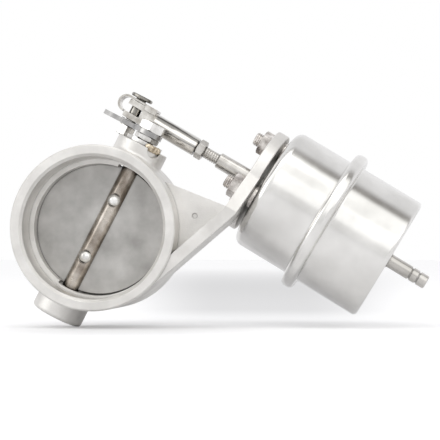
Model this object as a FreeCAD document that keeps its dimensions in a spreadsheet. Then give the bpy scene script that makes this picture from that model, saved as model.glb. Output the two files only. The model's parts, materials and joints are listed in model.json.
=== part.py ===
import FreeCAD, Part
import Sketcher
import math
import os

# An exhaust cutout valve: a cast stainless body with a butterfly plate on a slotted shaft,
# and the vacuum canister on its bracket that turns the shaft through a rod, clevis and lever.
# Millimetres and degrees.
#
# Three frames are used, and every piece is drawn in the one that suits it:
#   valve frame     origin at the middle of the bore, Z along the shaft, Y along the bore
#                   away from the viewer, X towards the canister
#   canister frame  X along the canister's axis, which leans a little from square to the shaft
#   link frame      origin at the clevis pin, X along the actuator rod
# The whole part stands as it was photographed, so the valve frame is turned about Y by "stance_angle".

SIZES = {
    # stance and layout
    "stance_angle": 27.4,          # shaft's lean from vertical towards the canister
    "can_cant_angle": 3.9,         # canister axis below square to the shaft
    "rod_cant_angle": 3.0,         # actuator rod below square to the shaft
    "lever_arm": 18.0,             # shaft centre to clevis pin
    "lever_angle": 45.0,           # lever from straight back, valve closed
    "can_rise": 0.8,               # canister axis above the clevis's middle
    "overcut": 1.0,                # cutting tools reach this far past the piece
    "edge_break": 0.4,             # small chamfer on turned ends
    # cast body
    "body_length": 45.0,
    "rim_chamfer": 0.7,
    "socket_radius": 31.6,         # takes a 63 mm pipe
    "ring_wall": 5.3,              # socket to the ring's outer face
    "socket_depth": 15.0,
    "mouth_chamfer": 1.3,
    "bore_step": 1.2,              # bore inside the socket
    "seat_step": 1.2,              # seat inside the bore
    "seat_end": 4.7,               # half-ring seats stop this far from the shaft's axis
    "seat_gap": 0.2,               # closed plate to each seat
    "boss_radius": 12.0,
    "upper_boss_rise": 5.6,        # upper boss above the ring
    "lower_boss_drop": 7.7,        # lower boss below the ring
    "lower_boss_floor": 2.6,       # metal under the blind shaft hole
    "boss_round": 1.6,
    "boss_edge": 0.5,
    "boss_root": 1.5,
    "shaft_hole_radius": 5.5,
    "notch_radius": 3.4,           # half-round weld notch in the upper boss's rim
    "notch_angle": 52.0,           # its place round the boss, from X towards the viewer
    "notch_depth": 2.2,
    # bracket
    "arm_thickness": 5.2,
    "arm_lean_angle": 22.0,        # arm from the shaft's direction towards the canister
    "arm_front": 21.0,             # arm's near edge in front of the shaft
    "arm_back": 6.0,               # arm's far edge behind the shaft
    "web_thickness": 7.0,
    "web_front": 7.5,              # web's near face in front of the shaft
    "web_start": 14.0,             # web's upper edge where it leaves the ring, across from the shaft
    "web_sink": 1.8,               # web's corner inside the ring's outer face
    "web_overlap": 1.0,            # web's end inside the flange
    "web_end_drop": 16.6,          # web's upper edge at the flange, below the canister's axis
    "pit_beyond": 7.4,             # small casting pit in the web, outside the ring
    "pit_angle": 34.5,
    "pit_radius": 1.3,
    "pit_depth": 0.8,
    "flange_radius": 24.6,
    "flange_thickness": 5.6,
    "flange_standoff": 8.7,        # ring to the flange's near face, along the canister's axis
    "flange_hole_radius": 9.2,
    "flange_round": 0.8,
    "foot_drop": 16.4,             # arm's end inside the flange, below the canister's axis
    "foot_overlap": 0.5,           # wing's lower edge past the arm's end
    "wing_inset": 0.6,             # wing's near corner inside the flange's edge
    "wedge_rise": 2.0,             # where the flange's near wing runs out, above its middle
    "arm_inset": 0.05,             # arm's outer face inside the ring's tangent
    # shaft and plate
    "shaft_radius": 4.0,
    "running_gap": 0.05,
    "plate_gap": 0.4,              # plate to bore
    "plate_thickness": 2.6,
    "plate_bevel": 0.5,
    "screw_radius": 1.9,
    "screw_head_radius": 2.9,
    "screw_head_height": 1.5,
    "screw_land": 3.4,             # flat under each screw head, from the shaft's middle
    "screw_land_radius": 3.3,
    "screw_spacing": 28.8,
    "stub_radius": 3.0,            # shaft's reduced end, through lever and nut
    "stub_flat": 2.4,              # half the width over the stub's two flats
    "stub_tip": 0.3,               # stub past its upper nut
    "bush_length": 8.0,
    "bush_inset": 0.2,             # bore to each bush
    "seal_height": 2.2,
    "washer_radius": 8.6,
    "washer_thickness": 1.9,
    "washer_gap": 0.3,
    "shaft_nut_width": 10.0,
    "shaft_nut_height": 2.5,
    "top_nut_width": 11.0,         # nut on the lever
    "top_nut_height": 4.2,
    "top_nut_angle": 33.0,
    "weld_drop_radius": 1.7,
    "weld_drop_spacing": 1.6,
    "weld_reach": 1.0,             # drops' middles outside the washer
    "weld_lift": 0.4,
    # lever
    "lever_thickness": 2.2,
    "lever_hub_radius": 6.2,
    "lever_eye_radius": 5.4,
    "lever_tip_reach": 33.5,       # shaft centre to the middle of the lever's round tip
    "lever_tip_radius": 4.3,
    "spare_hole_radius": 1.6,
    "spare_hole_reach": 27.6,
    # clevis and rod
    "pin_radius": 2.5,
    "fork_width": 8.8,
    "fork_slot": 3.6,
    "fork_slot_length": 7.4,
    "fork_tip": 4.0,               # fork's end past the pin
    "fork_lift": 0.8,              # fork above the lever
    "clevis_length": 33.2,         # pin to the clevis's rear face
    "neck_radius": 4.35,
    "fork_length": 10.5,           # pin to where the square fork turns into the round neck
    "spacer_radius": 4.4,
    "spacer_thickness": 0.36,
    "spacer_gap": 0.1,
    "pin_nut_width": 7.6,
    "pin_nut_height": 4.7,
    "pin_nut_gap": 0.15,           # lever to the nut on the pin
    "pin_nut_angle": 40.0,
    "pin_tip": 0.5,                # pin past its nut
    "pin_head_level": 6.2,         # underside of the pin's head above the clevis's middle
    "pin_head_radius": 5.2,
    "pin_head_thickness": 1.6,
    "fork_taper": 3.0,
    "fork_corner": 6.3,
    "fork_chamfer": 0.9,
    "clip_sheet": 1.0,
    "clip_width": 7.0,
    "clip_play": 0.15,
    "clip_bend": 5.0,              # pin to the middle of the clip's round nose
    "clip_bend_radius": 4.1,       # outside of the nose
    "clip_wing_start": 4.0,
    "clip_wing_drop": 2.8,
    "clip_arm": 9.8,               # clip's arm past the pin, along the neck
    "thread_radius": 2.5,
    "lock_nut_width": 8.0,
    "lock_nut_height": 3.6,
    "lock_nut_play": 0.5,
    "rod_radius": 3.7,
    "rod_step": 44.8,              # pin to the start of the thick rod
    "rod_end_gap": 0.9,            # rod's end to the piston, valve closed
    "thread_start": 14.0,          # pin to the rod's end inside the clevis
    # canister
    "can_gap": 2.2,                # flange to canister
    "can_length": 65.4,
    "front_can_radius": 29.3,
    "rear_can_radius": 29.7,
    "can_wall": 1.0,
    "front_can_round": 4.0,
    "rear_can_round": 1.8,
    "bead_start": 28.2,            # can's front face to the crimped bead
    "bead_width": 6.2,
    "bead_radius": 34.6,
    "bead_round": 2.4,
    "bead_gap": 0.5,               # rolled lip to the front half's wall
    "rod_opening_radius": 9.2,
    "stud_circle": 16.5,
    "stud_clocking_angle": 5.0,
    "stud_radius": 3.0,
    "stud_tip": 3.2,               # stud past its nut
    "stud_collar_radius": 5.5,
    "nut_width": 10.0,
    "nut_height": 5.0,
    "stud_ring_thickness": 1.6,
    "stud_ring_inner": 11.5,
    "stud_ring_outer": 22.5,
    # inside the canister
    "piston_radius": 23.5,
    "piston_sheet": 1.2,
    "piston_inset": 13.6,          # canister's front face to the piston's
    "piston_skirt": 11.0,
    "socket_inner": 9.2,           # loose socket that holds the rod's end
    "socket_wall": 1.2,
    "socket_length": 7.0,
    "socket_flange": 16.0,
    "rubber": 1.0,
    "rubber_play": 0.1,
    "spring_seat_play": 0.5,       # nipple's flange to the spring seat
    "spring_wire": 1.0,            # wire's radius
    "spring_play": 0.05,           # spring to the plates at its ends
    "spring_radius": 15.0,
    "spring_turns": 6.0,
    "spring_seat_height": 2.0,
    "spring_seat_radius": 18.0,
    "spring_guide": 13.5,          # radius of the plate and lip that centre the spring
    "spring_plate_thickness": 1.2,
    "nipple_radius": 3.2,
    "nipple_bore": 2.0,
    "nipple_reach": 19.8,
    "nipple_groove": 0.6,
    "nipple_tip": 4.1,             # nipple's end to its last groove
    "nipple_step": 3.7,
    "nipple_groove_width": 0.8,
    "nipple_collar_radius": 3.6,
    "nipple_collar": 0.4,          # collar outside the rear wall
    "nipple_flange_radius": 5.6,
}

doc = FreeCAD.newDocument("exhaust_cutout_valve")
sheet = doc.addObject("Spreadsheet::Sheet", "sizes")
for row, (word, number) in enumerate(SIZES.items(), start=1):
    sheet.set("A%d" % row, word)
    sheet.set("B%d" % row, str(number))
    sheet.setAlias("B%d" % row, word)
doc.recompute()


class Size:
    """A size with its number and the words that bind a property to the sheet."""

    def __init__(self, number, words):
        self.number = number
        self.words = words

    def __add__(self, other):
        other = as_size(other)
        return Size(self.number + other.number, "(%s + %s)" % (self.words, other.words))

    def __sub__(self, other):
        other = as_size(other)
        return Size(self.number - other.number, "(%s - %s)" % (self.words, other.words))

    def __mul__(self, other):
        other = as_size(other)
        return Size(self.number * other.number, "(%s * %s)" % (self.words, other.words))

    def __truediv__(self, other):
        other = as_size(other)
        return Size(self.number / other.number, "(%s / %s)" % (self.words, other.words))

    def __neg__(self):
        return Size(-self.number, "(0 - %s)" % self.words)


def as_size(thing):
    return thing if isinstance(thing, Size) else Size(float(thing), repr(float(thing)))


def sine(angle):
    return Size(math.sin(math.radians(angle.number)), "sin(%s)" % angle.words)


def cosine(angle):
    return Size(math.cos(math.radians(angle.number)), "cos(%s)" % angle.words)


def tangent(angle):
    return Size(math.tan(math.radians(angle.number)), "tan(%s)" % angle.words)


def root(square):
    return Size(math.sqrt(square.number), "sqrt(%s)" % square.words)


class Sizes:
    """Every named size of the sheet, as sizes.name."""


sizes = Sizes()
for word, number in SIZES.items():
    setattr(sizes, word, Size(number, "sizes." + word))
s = sizes

ZERO = as_size(0)
ALONG_X = ((0, 1, 0), 90)          # turns a cylinder's axis from Z to X
ALONG_Y = ((1, 0, 0), -90)         # turns a cylinder's axis from Z to Y


def bind(item, name, size):
    item.setExpression(name, as_size(size).words)


def place(item, at=(ZERO, ZERO, ZERO), turn=None):
    """Put a shape at a point of its frame, turned by a fixed or a bound angle."""
    axis, angle = turn if turn else ((0, 0, 1), 0)
    number = as_size(angle).number
    spot = FreeCAD.Vector(*[as_size(part).number for part in at])
    item.Placement = FreeCAD.Placement(spot, FreeCAD.Rotation(FreeCAD.Vector(*axis), number))
    for letter, part in zip("xyz", at):
        bind(item, "Placement.Base." + letter, part)
    if isinstance(angle, Size):
        bind(item, "Placement.Rotation.Angle", angle)
    return item


def cylinder(name, radius, height, at=(ZERO, ZERO, ZERO), turn=None):
    item = doc.addObject("Part::Cylinder", name)
    bind(item, "Radius", radius)
    bind(item, "Height", height)
    return place(item, at, turn)


def block(name, length, width, height, at, turn=None):
    item = doc.addObject("Part::Box", name)
    bind(item, "Length", length)
    bind(item, "Width", width)
    bind(item, "Height", height)
    return place(item, at, turn)


def hexagon(name, width, height, at=(ZERO, ZERO, ZERO), turn=None):
    """A six-sided prism of a given width across its flats."""
    item = doc.addObject("Part::Prism", name)
    item.Polygon = 6
    bind(item, "Circumradius", as_size(width) / math.sqrt(3))
    bind(item, "Height", height)
    return place(item, at, turn)


def fuse(name, items):
    item = doc.addObject("Part::MultiFuse", name)
    item.Shapes = items
    return item


def common(name, items):
    item = doc.addObject("Part::MultiCommon", name)
    item.Shapes = items
    return item


def cut(name, base, tools):
    tool = tools[0] if len(tools) == 1 else fuse(name + "_tools", tools)
    item = doc.addObject("Part::Cut", name)
    item.Base = base
    item.Tool = tool
    return item


def placed_again(name, item):
    """The same shape under a new name, free to be put in another frame."""
    again = doc.addObject("Part::Compound", name)
    again.Links = [item]
    return again


def origin_plane(body, role):
    return [plane for plane in body.Origin.OriginFeatures if plane.Role == role][0]


def attach(body, sketch, role, lift=ZERO, turn=None):
    """Lay a sketch on one of its body's own planes, lifted along the plane's normal."""
    sketch.AttachmentSupport = [(origin_plane(body, role), "")]
    sketch.MapMode = "FlatFace"
    axis, angle = turn if turn else ((0, 0, 1), 0)
    lift = as_size(lift)
    sketch.AttachmentOffset = FreeCAD.Placement(
        FreeCAD.Vector(0, 0, lift.number),
        FreeCAD.Rotation(FreeCAD.Vector(*axis), as_size(angle).number))
    bind(sketch, "AttachmentOffset.Base.z", lift)
    if isinstance(angle, Size):
        bind(sketch, "AttachmentOffset.Rotation.Angle", angle)


def pin_point(sketch, curve, end, across, up):
    """Hold one end of a curve at bound coordinates of the sketch."""
    for kind, axis, size in (("DistanceX", -2, across), ("DistanceY", -1, up)):
        if size.words == ZERO.words:
            sketch.addConstraint(Sketcher.Constraint("PointOnObject", curve, end, axis))
            continue
        mark = sketch.addConstraint(Sketcher.Constraint(kind, -1, 1, curve, end, size.number))
        sketch.setExpression("Constraints[%d]" % mark, size.words)


def draw_outline(sketch, corners):
    """Draw a closed outline. A corner is (across, up), or (across, up, radius) where the
    outline reaches it by an arc: a positive radius bends left along the way, negative right."""
    spots = [(as_size(corner[0]), as_size(corner[1])) for corner in corners]
    ends = []
    for index, corner in enumerate(corners):
        across, up = spots[index - 1]
        to_across, to_up = spots[index]
        start = FreeCAD.Vector(across.number, up.number, 0)
        stop = FreeCAD.Vector(to_across.number, to_up.number, 0)
        if len(corner) == 2:
            curve = sketch.addGeometry(Part.LineSegment(start, stop), False)
            ends.append((curve, 1, 2))
            pin_point(sketch, curve, 2, to_across, to_up)
            continue
        radius = as_size(corner[2])
        size = abs(radius.number)
        side = 1 if radius.number > 0 else -1
        chord = stop.sub(start)
        half = chord.Length / 2
        normal = FreeCAD.Vector(-chord.y, chord.x, 0).normalize()
        middle = (start + stop) * 0.5 + normal * (side * math.sqrt(max(size ** 2 - half ** 2, 0)))
        low, high = (start, stop) if side > 0 else (stop, start)
        first = math.atan2(low.y - middle.y, low.x - middle.x)
        last = math.atan2(high.y - middle.y, high.x - middle.x)
        circle = Part.Circle(middle, FreeCAD.Vector(0, 0, 1), size)
        curve = sketch.addGeometry(Part.ArcOfCircle(circle, first, last), False)
        ends.append((curve, 1, 2) if side > 0 else (curve, 2, 1))
        pin_point(sketch, curve, ends[-1][2], to_across, to_up)
        mark = sketch.addConstraint(Sketcher.Constraint("Radius", curve, size))
        sketch.setExpression("Constraints[%d]" % mark, (radius if side > 0 else -radius).words)
    for before, after in zip(ends, ends[1:] + ends[:1]):
        sketch.addConstraint(Sketcher.Constraint("Coincident", before[0], before[2], after[0], after[1]))


def new_body(name):
    return doc.addObject("PartDesign::Body", name)


def sketch_in(body, name, corners, role, lift=ZERO, turn=None):
    sketch = body.newObject("Sketcher::SketchObject", name)
    attach(body, sketch, role, lift, turn)
    draw_outline(sketch, corners)
    return sketch


def turned(name, outline, about):
    """A body turned about one axis of its frame from (along, radius) corners."""
    body = new_body(name)
    if about == "X":
        corners, role, axis = outline, "XY_Plane", "H_Axis"
    else:
        corners = [(corner[1], corner[0]) + tuple(-as_size(bend) for bend in corner[2:])
                   for corner in outline]
        role, axis = ("XY_Plane" if about == "Y" else "XZ_Plane"), "V_Axis"
    sketch = sketch_in(body, name + "_profile", corners, role)
    turning = body.newObject("PartDesign::Revolution", name + "_turning")
    turning.Profile = sketch
    turning.ReferenceAxis = (sketch, [axis])
    turning.Angle = 360
    return body


def pad(body, name, sketch, length, backwards=False):
    feature = body.newObject("PartDesign::Pad", name)
    feature.Profile = sketch
    bind(feature, "Length", length)
    feature.Reversed = backwards
    return feature


# Places that several pieces share

plate_half = s.plate_thickness / 2
body_half = s.body_length / 2
land_half = body_half - s.socket_depth
mouth_middle = body_half - (s.socket_depth + s.mouth_chamfer) / 2
ring_radius = s.socket_radius + s.ring_wall
bore_radius = s.socket_radius - s.bore_step
seat_radius = bore_radius - s.seat_step
plate_radius = bore_radius - s.plate_gap
upper_boss_top = ring_radius + s.upper_boss_rise
lower_boss_end = ring_radius + s.lower_boss_drop
shaft_hole_end = lower_boss_end - s.lower_boss_floor
bush_start = bore_radius + s.bush_inset
washer_top = upper_boss_top + s.washer_thickness
nut_start = washer_top + s.washer_gap
lever_start = nut_start + s.shaft_nut_height
lever_top = lever_start + s.lever_thickness
stub_top = lever_top + s.top_nut_height + s.stub_tip
bush_hole = s.shaft_radius + s.running_gap
pin_hole = s.pin_radius + s.running_gap
pin_across = -(s.lever_arm * sine(s.lever_angle))
pin_behind = s.lever_arm * cosine(s.lever_angle)
fork_half = s.fork_width / 2
clevis_level = lever_top + s.fork_lift + fork_half
pin_nut_start = clevis_level - lever_start + s.pin_nut_gap
can_level = clevis_level + s.can_rise
can_depth = (pin_behind + s.lever_arm) / 2
flange_start = ring_radius + s.flange_standoff
flange_end = flange_start + s.flange_thickness
can_start = flange_end + s.can_gap
bead_start = can_start + s.bead_start
bead_end = bead_start + s.bead_width
can_end = can_start + s.can_length
end_wall = can_end - s.can_wall
spring_end = end_wall - s.spring_seat_height
piston_start = can_start + s.piston_inset
piston_back = piston_start + s.piston_sheet
pin_along = pin_across * cosine(s.can_cant_angle) - clevis_level * sine(s.can_cant_angle)
rod_end = (piston_start - s.rod_end_gap - pin_along) / cosine(s.can_cant_angle - s.rod_cant_angle)
stud_turns = [s.stud_clocking_angle, s.stud_clocking_angle + 120, s.stud_clocking_angle + 240]


def in_valve_frame(item):
    return place(item, (ZERO, mouth_middle, ZERO), ((0, 1, 0), s.stance_angle))


def in_canister_frame(item, along=ZERO, extra_turn=0):
    """Put a piece on the canister's axis, "along" it; 90 more degrees for one drawn along Z."""
    lean = s.stance_angle + s.can_cant_angle
    across = can_level * sine(lean) + as_size(along) * cosine(lean)
    up = can_level * cosine(lean) - as_size(along) * sine(lean)
    return place(item, (across, can_depth + mouth_middle, up), ((0, 1, 0), lean + extra_turn))


def at_pin(item, angle):
    across = pin_across * cosine(s.stance_angle) + clevis_level * sine(s.stance_angle)
    up = clevis_level * cosine(s.stance_angle) - pin_across * sine(s.stance_angle)
    return place(item, (across, pin_behind + mouth_middle, up), ((0, 1, 0), angle))


def in_link_frame(item):
    return at_pin(item, s.stance_angle + s.rod_cant_angle)


def in_pin_frame(item):
    """The clevis pin stands parallel to the shaft, with Z = 0 at the clevis's middle."""
    return at_pin(item, s.stance_angle)


def bore_for_pin(name, radius, depth):
    """A tool in the link frame along the pin's axis, "depth" to each side of the clevis's middle."""
    low = -as_size(depth)
    foot = (-low * sine(s.rod_cant_angle), ZERO, low * cosine(s.rod_cant_angle))
    return cylinder(name, radius, as_size(depth) * 2, foot, ((0, 1, 0), -s.rod_cant_angle))


def tube(name, inner, outer, start, length):
    """A plain ring along Z."""
    return cut(name, cylinder(name + "_outside", outer, length, (ZERO, ZERO, start)),
               [cylinder(name + "_hole", inner, length + s.overcut * 2,
                         (ZERO, ZERO, as_size(start) - s.overcut))])


def nut(name, width, height, hole, at, turn=None):
    """A hexagon nut with turned corners, standing on a point."""
    corner = as_size(width) / math.sqrt(3)
    face = as_size(width) * 0.5
    rise = (corner - face) * 0.5
    envelope = turned(name + "_envelope", [
        (ZERO, ZERO), (ZERO, face), (rise, corner), (as_size(height) - rise, corner),
        (height, face), (height, ZERO)], "Z")
    blank = common(name + "_blank", [hexagon(name + "_prism", width, height), envelope])
    item = cut(name, blank, [cylinder(name + "_hole", hole, as_size(height) + s.overcut * 2,
                                      (ZERO, ZERO, -s.overcut))])
    return place(item, at, turn)


def on_arm(out, along):
    """A point of the bracket arm in the valve frame: "out" from the bore's middle, "along" the arm."""
    return (cosine(s.arm_lean_angle) * out + sine(s.arm_lean_angle) * along,
            cosine(s.arm_lean_angle) * along - sine(s.arm_lean_angle) * out)


def on_flange(along, level):
    """A point of the canister flange in the valve frame."""
    return (cosine(s.can_cant_angle) * along + sine(s.can_cant_angle) * level,
            cosine(s.can_cant_angle) * level - sine(s.can_cant_angle) * along)


def round_stud(turn, radius):
    """Place of a stud round the canister's axis."""
    return (as_size(radius) * sine(turn), as_size(radius) * cosine(turn))


def make_casting_blank():
    """Ring, bosses, arm, web and flange before anything is bored."""
    outer = ring_radius
    ring = turned("ring", [
        (-body_half, ZERO), (-body_half, outer - s.rim_chamfer), (s.rim_chamfer - body_half, outer),
        (body_half - s.rim_chamfer, outer), (body_half, outer - s.rim_chamfer), (body_half, ZERO)], "Y")
    bosses = turned("bosses", [
        (-lower_boss_end, ZERO), (-lower_boss_end, s.boss_radius - s.boss_round),
        (s.boss_round - lower_boss_end, s.boss_radius, -s.boss_round),
        (upper_boss_top - s.boss_edge, s.boss_radius),
        (upper_boss_top, s.boss_radius - s.boss_edge, -s.boss_edge), (upper_boss_top, ZERO)], "Z")
    trunk = fuse("ring_with_bosses", [ring, bosses])
    doc.recompute()
    roots = [number for number, edge in enumerate(trunk.Shape.Edges, start=1)
             if type(edge.Curve).__name__ not in ("Line", "Circle")]
    rooted = doc.addObject("Part::Fillet", "rooted_bosses")
    rooted.Base = trunk
    rooted.Edges = [(number, s.boss_root.number, s.boss_root.number) for number in roots]

    # the arm leaves the ring at a tangent and ends inside the flange's foot
    skin = outer - s.arm_thickness
    face = outer - s.arm_inset
    bend = s.arm_lean_angle - s.can_cant_angle
    foot = can_level - s.foot_drop

    def reach(out, along):
        return (along - out * cosine(bend)) / sine(bend)

    arm = new_body("arm")
    arm_profile = sketch_in(arm, "arm_profile", [
        on_arm(skin, ZERO), on_arm(face, ZERO), on_arm(face, reach(face, flange_end)),
        on_flange(flange_end, foot), on_flange(flange_start, foot),
        on_arm(skin, reach(skin, flange_start))], "XZ_Plane", s.arm_front)
    pad(arm, "arm_slab", arm_profile, s.arm_front + s.arm_back, backwards=True)

    # the web closes the corner between ring, arm and flange
    web = new_body("web")
    inside = skin + s.arm_thickness / 2
    sunk = outer - s.web_sink
    web_profile = sketch_in(web, "web_profile", [
        (s.web_start, root(sunk * sunk - s.web_start * s.web_start)),
        on_flange(flange_start + s.web_overlap, can_level - s.web_end_drop),
        on_arm(inside, reach(inside, flange_start)), on_arm(inside, s.web_thickness)],
        "XZ_Plane", s.web_front)
    pad(web, "web_slab", web_profile, s.web_thickness, backwards=True)

    # the flange is a disc with a wing that runs down to the arm's near edge
    edge = s.flange_radius - s.flange_round
    flange = turned("flange", [
        (flange_start, ZERO), (flange_start, edge),
        (flange_start + s.flange_round, s.flange_radius, -s.flange_round),
        (flange_end - s.flange_round, s.flange_radius),
        (flange_end, edge, -s.flange_round), (flange_end, ZERO)], "X")
    wing = new_body("flange_wing")
    near = -(s.arm_front + can_depth)
    wing_profile = sketch_in(wing, "wing_profile", [
        (near, -(s.foot_drop + s.foot_overlap)), (s.arm_back - can_depth, -(s.foot_drop + s.foot_overlap)),
        (ZERO, ZERO), (s.wing_inset - s.flange_radius, s.wedge_rise), (near, -s.foot_drop)],
        "YZ_Plane", flange_start)
    pad(wing, "wing_slab", wing_profile, s.flange_thickness)
    middle = on_flange(ZERO, can_level)
    for item in (flange, wing):
        place(item, (middle[0], can_depth, middle[1]), ((0, 1, 0), s.can_cant_angle))
    return fuse("casting_blank", [rooted, arm, web, flange, wing])


def make_valve_body():
    """The casting: pipe sockets, half-ring seats, shaft bosses, web, arm and canister flange."""
    mouth = s.socket_radius + s.mouth_chamfer
    far = body_half + s.overcut
    bore = turned("bore", [
        (-far, ZERO), (-far, mouth + s.overcut), (s.mouth_chamfer - body_half, s.socket_radius),
        (-land_half, s.socket_radius), (-land_half, bore_radius), (land_half, bore_radius),
        (land_half, s.socket_radius), (body_half - s.mouth_chamfer, s.socket_radius),
        (far, mouth + s.overcut), (far, ZERO)], "Y")
    shaft_hole = cylinder("shaft_hole", s.shaft_hole_radius, shaft_hole_end + upper_boss_top + s.overcut,
                          (ZERO, ZERO, -shaft_hole_end))
    pit_reach = ring_radius + s.pit_beyond
    pit = cylinder("pit", s.pit_radius, s.pit_depth + s.overcut,
                   (pit_reach * cosine(s.pit_angle), -s.web_front - s.overcut,
                    pit_reach * sine(s.pit_angle)), ALONG_Y)
    notch = make_notch("notch")
    tools = [bore, shaft_hole, pit, notch]
    before = flange_start - s.overcut
    through = s.flange_thickness + s.overcut * 2
    middle = on_flange(before, can_level)
    tools.append(cylinder("flange_hole", s.flange_hole_radius, through,
                          (middle[0], can_depth, middle[1]), ((0, 1, 0), s.can_cant_angle + 90)))
    for number, turn in enumerate(stud_turns, start=1):
        aside, rise = round_stud(turn, s.stud_circle)
        spot = on_flange(before, can_level + rise)
        tools.append(cylinder("flange_stud_hole_%d" % number, s.stud_radius + s.washer_gap, through,
                              (spot[0], can_depth + aside, spot[1]),
                              ((0, 1, 0), s.can_cant_angle + 90)))
    bored = cut("bored_casting", make_casting_blank(), tools)

    # each half of the plate closes on its own side of the bore, so that both seats let it open
    wide = (bore_radius + s.socket_radius) / 2
    gap = plate_half + s.seat_gap
    depth = land_half - gap
    seats = []
    for name, start, left in (("left_seat", -land_half, True), ("right_seat", gap, False)):
        full = cut(name + "_ring", cylinder(name + "_outside", wide, depth, (ZERO, start, ZERO), ALONG_Y),
                   [cylinder(name + "_hole", seat_radius, depth + s.overcut * 2,
                             (ZERO, start - s.overcut, ZERO), ALONG_Y)])
        corner = -wide - s.overcut if left else s.seat_end
        keep = block(name + "_half", wide + s.overcut - s.seat_end, depth + s.overcut * 2,
                     (wide + s.overcut) * 2, (corner, start - s.overcut, -wide - s.overcut))
        seats.append(common(name, [full, keep]))
    return in_valve_frame(fuse("valve_body", [bored] + seats))


def make_notch(name):
    """The half-round notch in the upper boss's rim."""
    drill = cylinder(name + "_drill", s.notch_radius, s.notch_depth + s.overcut,
                     (s.boss_radius - s.notch_depth, ZERO, upper_boss_top), ALONG_X)
    return round_shaft(name, drill, -s.notch_angle)


def round_shaft(name, item, angle):
    """The same shape turned round the shaft."""
    return place(placed_again(name, item), turn=((0, 0, 1), angle))


def make_gland_weld():
    """A tack of overlapping weld drops between the washer and the notch."""
    drops = []
    for number, step in enumerate((-1.5, -0.5, 0.5, 1.5), start=1):
        ball = doc.addObject("Part::Sphere", "weld_drop_%d" % number)
        bind(ball, "Radius", s.weld_drop_radius)
        drops.append(place(ball, (s.washer_radius + s.weld_reach, s.weld_drop_spacing * step,
                                  upper_boss_top + s.weld_lift)))
    row = round_shaft("weld_row", fuse("weld_drops", drops), -s.notch_angle)
    boss = cut("weld_bed", cylinder("weld_boss", s.boss_radius + s.overcut, s.boss_radius,
                                    (ZERO, ZERO, upper_boss_top - s.boss_radius)),
               [make_notch("weld_notch")])
    washer = cylinder("weld_washer", s.washer_radius, s.washer_thickness * 3, (ZERO, ZERO, upper_boss_top))
    return in_valve_frame(cut("gland_weld", row, [boss, washer]))


def make_valve_shaft():
    """Shaft with a slot for the plate, a land for each screw and flats on its upper end."""
    low = -(bush_start + s.bush_length)
    root_level = nut_start - s.overcut
    bar = fuse("shaft_bar", [
        cylinder("shaft_round", s.shaft_radius, nut_start - low, (ZERO, ZERO, low)),
        common("shaft_stub", [
            cylinder("stub_round", s.stub_radius, stub_top - root_level, (ZERO, ZERO, root_level)),
            block("stub_flats", s.stub_flat * 2, s.stub_radius * 3, stub_top,
                  (-s.stub_flat, s.stub_radius * -1.5, root_level))])])
    slot = block("plate_slot", s.shaft_radius * 3, s.plate_thickness, plate_radius * 2,
                 (s.shaft_radius * -1.5, -plate_half, -plate_radius))
    tools = [slot]
    for number, side in enumerate((1, -1), start=1):
        level = s.screw_spacing * (0.5 * side)
        tools.append(cylinder("screw_land_%d" % number, s.screw_land_radius, s.shaft_radius,
                              (ZERO, -s.screw_land - s.shaft_radius, level), ALONG_Y))
        tools.append(cylinder("screw_hole_%d" % number, s.screw_radius, s.shaft_radius * 4,
                              (ZERO, s.shaft_radius * -2, level), ALONG_Y))
    return in_valve_frame(cut("valve_shaft", bar, tools))


def make_valve_plate():
    edge = plate_radius - s.plate_bevel
    disc = turned("plate_disc", [
        (-plate_half, ZERO), (-plate_half, edge), (s.plate_bevel - plate_half, plate_radius),
        (plate_half - s.plate_bevel, plate_radius), (plate_half, edge), (plate_half, ZERO)], "Y")
    holes = [cylinder("plate_hole_%d" % number, s.screw_radius, s.plate_thickness * 3,
                      (ZERO, s.plate_thickness * -1.5, s.screw_spacing * (0.5 * side)), ALONG_Y)
             for number, side in enumerate((1, -1), start=1)]
    return in_valve_frame(cut("valve_plate", disc, holes))


def make_plate_screws():
    """Two screws with domed heads, through shaft and plate."""
    tall, wide = s.screw_head_height, s.screw_head_radius
    dome = (tall * tall + wide * wide) / (tall * 2)
    screws = []
    for number, side in enumerate((1, -1), start=1):
        screw = turned("plate_screw_%d" % number, [
            (-s.screw_land - tall, ZERO), (-s.screw_land, wide, -dome), (-s.screw_land, s.screw_radius),
            (s.shaft_radius - s.edge_break, s.screw_radius), (s.shaft_radius - s.edge_break, ZERO)], "Y")
        screws.append(place(screw, (ZERO, ZERO, s.screw_spacing * (0.5 * side))))
    return in_valve_frame(fuse("plate_screws", screws))


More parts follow.
